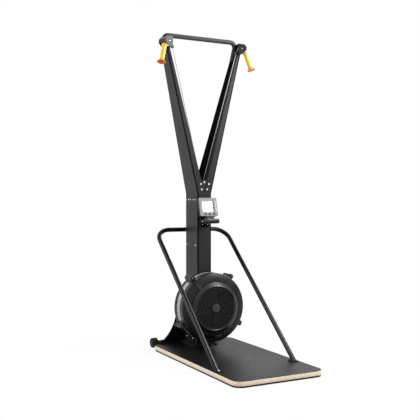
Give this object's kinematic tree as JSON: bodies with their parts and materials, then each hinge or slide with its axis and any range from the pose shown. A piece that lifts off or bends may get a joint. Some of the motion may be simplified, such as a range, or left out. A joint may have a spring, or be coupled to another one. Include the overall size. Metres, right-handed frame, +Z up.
{
  "type": "ski trainer machine",
  "caption": "Standing ski trainer: low plywood deck, tall mast forked into arms with pull handles on cords, caged air fan, monitor and arched handrail.",
  "frame": {"origin": "on the floor, at the middle of the whole machine's length and width", "axes": "+X to the right of the person on the deck, +Y forward from that person to the mast, +Z up"},
  "size_m": [0.7734, 1.294, 2.243],
  "materials": {
    "black_powder_coat": "satin powder coat",
    "black_plastic": "fine grain",
    "bezel_plastic": "semi-gloss",
    "screen_metal": "perforated",
    "bright_steel": "zinc bright",
    "underlay_rubber": "matt",
    "plywood": "clear-coated birch edge",
    "deck_sheet": "fine non-slip grain",
    "cord": "braided",
    "handle_orange": "moulded",
    "grip_yellow": "soft grip",
    "monitor_shell": "moulded",
    "display": "clear window over a pale display",
    "key_dark": "matt",
    "key_white": "matt",
    "wheel_rubber": "matt"
  },
  "bodies": {
    "frame": {"deck_underlay": "underlay_rubber", "deck_board": "plywood", "deck_top_sheet": "deck_sheet", "column_base_plate": "black_powder_coat", "column": "black_powder_coat", "column_front_cover": "black_powder_coat", "foot_bracket_left": "black_powder_coat", "foot_bracket_right": "black_powder_coat", "rear_flare_plate": "black_powder_coat", "arm_left": "black_powder_coat", "arm_right": "black_powder_coat", "front_gusset_plate": "black_powder_coat", "arm_crossbar": "black_powder_coat", "head_housing_left": "black_powder_coat", "head_housing_right": "black_powder_coat", "redirect_axle_left": "bright_steel", "redirect_axle_right": "bright_steel", "drive_cord_left": "cord", "drive_cord_right": "cord", "return_spring_case": "black_plastic", "fan_axle": "bright_steel", "handrail": "black_powder_coat", "handrail_foot_left": "black_powder_coat", "handrail_foot_right": "black_powder_coat", "handrail_saddle": "black_powder_coat", "wheel_bracket_left": "black_powder_coat", "wheel_bracket_right": "black_powder_coat", "fan_rear_cover": "black_plastic", "fan_screen": "screen_metal", "fan_front_cover": "black_plastic", "fan_grille": "black_plastic", "monitor_bracket": "black_powder_coat"},
    "handle_left": {"handle_body_left": "handle_orange", "handle_grip_left": "grip_yellow", "cord_stub_left": "cord"},
    "handle_right": {"handle_body_right": "handle_orange", "handle_grip_right": "grip_yellow", "cord_stub_right": "cord"},
    "head_pulley_left": {"head_pulley_left": "black_plastic"},
    "redirect_pulley_left": {"redirect_pulley_left": "black_plastic"},
    "cord_drum_left": {"cord_drum_left": "black_plastic"},
    "head_pulley_right": {"head_pulley_right": "black_plastic"},
    "redirect_pulley_right": {"redirect_pulley_right": "black_plastic"},
    "cord_drum_right": {"cord_drum_right": "black_plastic"},
    "fan_wheel": {"fan_wheel": "black_plastic"},
    "damper_ring": {"damper_ring": "bezel_plastic"},
    "monitor": {"monitor_case": "black_plastic", "monitor_front": "monitor_shell", "monitor_screen": "display"},
    "monitor_key_dark_1": {"monitor_key_dark_1": "key_dark"},
    "monitor_key_dark_2": {"monitor_key_dark_2": "key_dark"},
    "monitor_key_dark_3": {"monitor_key_dark_3": "key_dark"},
    "monitor_key_white_1": {"monitor_key_white_1": "key_white"},
    "monitor_key_white_2": {"monitor_key_white_2": "key_white"},
    "monitor_key_white_3": {"monitor_key_white_3": "key_white"},
    "monitor_key_white_4": {"monitor_key_white_4": "key_white"},
    "monitor_key_white_5": {"monitor_key_white_5": "key_white"},
    "transport_wheel_left": {"transport_wheel_left": "wheel_rubber"},
    "transport_wheel_right": {"transport_wheel_right": "wheel_rubber"}
  },
  "joints": [
    {"name": "handle_left_pull", "type": "slide", "parent": "frame", "child": "handle_left", "axis": [-0.27, -0.19, -0.9439], "range_m": [0, 1.2], "stiffness_N_per_m": 14, "springref_m": -0.9, "deforming": ["cord_stub_left"]},
    {"name": "handle_right_pull", "type": "slide", "parent": "frame", "child": "handle_right", "axis": [0.27, -0.19, -0.9439], "range_m": [0, 1.2], "stiffness_N_per_m": 14, "springref_m": -0.9, "deforming": ["cord_stub_right"]},
    {"name": "head_pulley_left_spin", "type": "hinge", "parent": "frame", "child": "head_pulley_left", "pos_m": [-0.29, 0.333, 2.167], "axis": [-0.1736, 0.9848, 0], "continuous": true},
    {"name": "redirect_pulley_left_spin", "type": "hinge", "parent": "frame", "child": "redirect_pulley_left", "pos_m": [-0.032, 0.39, 1.188], "axis": [0, 1, 0], "continuous": true},
    {"name": "cord_drum_left_spin", "type": "hinge", "parent": "frame", "child": "cord_drum_left", "pos_m": [0, 0.407, 0.328], "axis": [0, 1, 0], "continuous": true},
    {"name": "head_pulley_right_spin", "type": "hinge", "parent": "frame", "child": "head_pulley_right", "pos_m": [0.29, 0.333, 2.167], "axis": [0.1736, 0.9848, 0], "continuous": true},
    {"name": "redirect_pulley_right_spin", "type": "hinge", "parent": "frame", "child": "redirect_pulley_right", "pos_m": [0.032, 0.39, 1.188], "axis": [0, 1, 0], "continuous": true},
    {"name": "cord_drum_right_spin", "type": "hinge", "parent": "frame", "child": "cord_drum_right", "pos_m": [0, 0.373, 0.328], "axis": [0, 1, 0], "continuous": true},
    {"name": "fan_wheel_spin", "type": "hinge", "parent": "frame", "child": "fan_wheel", "pos_m": [0, 0.285, 0.328], "axis": [0, 1, 0], "continuous": true},
    {"name": "damper_turn", "type": "hinge", "parent": "frame", "child": "damper_ring", "pos_m": [0, 0.18, 0.328], "axis": [0, 1, 0], "range_deg": [-20, 56]},
    {"name": "monitor_tilt", "type": "hinge", "parent": "frame", "child": "monitor", "pos_m": [0, 0.253, 0.928], "axis": [1, 0, 0], "range_deg": [-5, 25]},
    {"name": "monitor_key_dark_1_press", "type": "slide", "parent": "monitor", "child": "monitor_key_dark_1", "axis": [0, 0.969, -0.247], "range_m": [0, 0.001], "stiffness_N_per_m": 500, "springref_m": -0.001},
    {"name": "monitor_key_dark_2_press", "type": "slide", "parent": "monitor", "child": "monitor_key_dark_2", "axis": [0, 0.969, -0.247], "range_m": [0, 0.001], "stiffness_N_per_m": 500, "springref_m": -0.001},
    {"name": "monitor_key_dark_3_press", "type": "slide", "parent": "monitor", "child": "monitor_key_dark_3", "axis": [0, 0.969, -0.247], "range_m": [0, 0.001], "stiffness_N_per_m": 500, "springref_m": -0.001},
    {"name": "monitor_key_white_1_press", "type": "slide", "parent": "monitor", "child": "monitor_key_white_1", "axis": [0, 0.969, -0.247], "range_m": [0, 0.001], "stiffness_N_per_m": 500, "springref_m": -0.001},
    {"name": "monitor_key_white_2_press", "type": "slide", "parent": "monitor", "child": "monitor_key_white_2", "axis": [0, 0.969, -0.247], "range_m": [0, 0.001], "stiffness_N_per_m": 500, "springref_m": -0.001},
    {"name": "monitor_key_white_3_press", "type": "slide", "parent": "monitor", "child": "monitor_key_white_3", "axis": [0, 0.969, -0.247], "range_m": [0, 0.001], "stiffness_N_per_m": 500, "springref_m": -0.001},
    {"name": "monitor_key_white_4_press", "type": "slide", "parent": "monitor", "child": "monitor_key_white_4", "axis": [0, 0.969, -0.247], "range_m": [0, 0.001], "stiffness_N_per_m": 500, "springref_m": -0.001},
    {"name": "monitor_key_white_5_press", "type": "slide", "parent": "monitor", "child": "monitor_key_white_5", "axis": [0, 0.969, -0.247], "range_m": [0, 0.001], "stiffness_N_per_m": 500, "springref_m": -0.001},
    {"name": "transport_wheel_left_roll", "type": "hinge", "parent": "frame", "child": "transport_wheel_left", "pos_m": [-0.275, 0.611, 0.038], "axis": [1, 0, 0], "continuous": true},
    {"name": "transport_wheel_right_roll", "type": "hinge", "parent": "frame", "child": "transport_wheel_right", "pos_m": [0.275, 0.611, 0.038], "axis": [1, 0, 0], "continuous": true}
  ],
  "couplings": [
    {"joint": "head_pulley_left_spin", "follows": "handle_left_pull", "rad_per_m": -45.455},
    {"joint": "redirect_pulley_left_spin", "follows": "handle_left_pull", "rad_per_m": -37.037},
    {"joint": "cord_drum_left_spin", "follows": "handle_left_pull", "rad_per_m": 36.63},
    {"joint": "head_pulley_right_spin", "follows": "handle_right_pull", "rad_per_m": 45.455},
    {"joint": "redirect_pulley_right_spin", "follows": "handle_right_pull", "rad_per_m": 37.037},
    {"joint": "cord_drum_right_spin", "follows": "handle_right_pull", "rad_per_m": 36.63}
  ]
}
